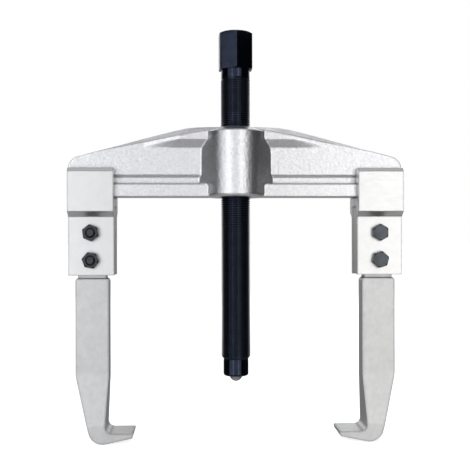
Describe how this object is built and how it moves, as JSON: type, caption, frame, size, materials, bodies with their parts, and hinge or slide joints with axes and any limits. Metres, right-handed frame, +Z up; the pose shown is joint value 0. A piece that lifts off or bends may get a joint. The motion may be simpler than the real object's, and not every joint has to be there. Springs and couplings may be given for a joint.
{
  "type": "gear puller",
  "caption": "Two-arm gear puller: a forged crossbeam with a fine-threaded pressure screw, and arms with inward hooks that slide along the beam's rail.",
  "frame": {"origin": "on the plane under the hooks, on the spindle's axis, with the arms at the ends of the rail", "axes": "+Z up along the spindle towards its hexagon, X along the crossbeam, -Y towards the viewer in front"},
  "size_m": [0.226, 0.0416, 0.2772],
  "materials": {
    "forged_steel": "satin, blasted and plated forging",
    "clamp_steel": "satin, plated",
    "leg_steel": "satin, plated forging",
    "black_oxide": "blue-black oxide, lightly oiled",
    "ball_steel": "polished",
    "bolt_steel": "gunmetal black oxide",
    "nut_steel": "gunmetal black oxide"
  },
  "bodies": {
    "beam": {"crossbeam": "forged_steel"},
    "left_arm": {"left_front_clamp": "clamp_steel", "left_rear_clamp": "clamp_steel", "left_leg": "leg_steel", "left_upper_bolt": "bolt_steel", "left_upper_nut": "nut_steel", "left_lower_bolt": "bolt_steel", "left_lower_nut": "nut_steel"},
    "right_arm": {"right_front_clamp": "clamp_steel", "right_rear_clamp": "clamp_steel", "right_leg": "leg_steel", "right_upper_bolt": "bolt_steel", "right_upper_nut": "nut_steel", "right_lower_bolt": "bolt_steel", "right_lower_nut": "nut_steel"},
    "tip": {"pressure_ball": "ball_steel"},
    "screw": {"spindle": "black_oxide"}
  },
  "joints": [
    {"name": "left_arm_slide", "type": "slide", "parent": "beam", "child": "left_arm", "axis": [1, 0, 0], "range_m": [-0.0025, 0.0555]},
    {"name": "right_arm_slide", "type": "slide", "parent": "beam", "child": "right_arm", "axis": [-1, 0, 0], "range_m": [-0.0025, 0.0555]},
    {"name": "spindle_feed", "type": "slide", "parent": "beam", "child": "tip", "axis": [0, 0, 1], "range_m": [-0.0315, 0.10875]},
    {"name": "spindle_turn", "type": "hinge", "parent": "tip", "child": "screw", "pos_m": [0, 0, 0.2], "axis": [0, 0, 1], "range_deg": [-7561, 26101]}
  ],
  "couplings": [
    {"joint": "spindle_turn", "follows": "spindle_feed", "rad_per_m": 4188.8}
  ]
}
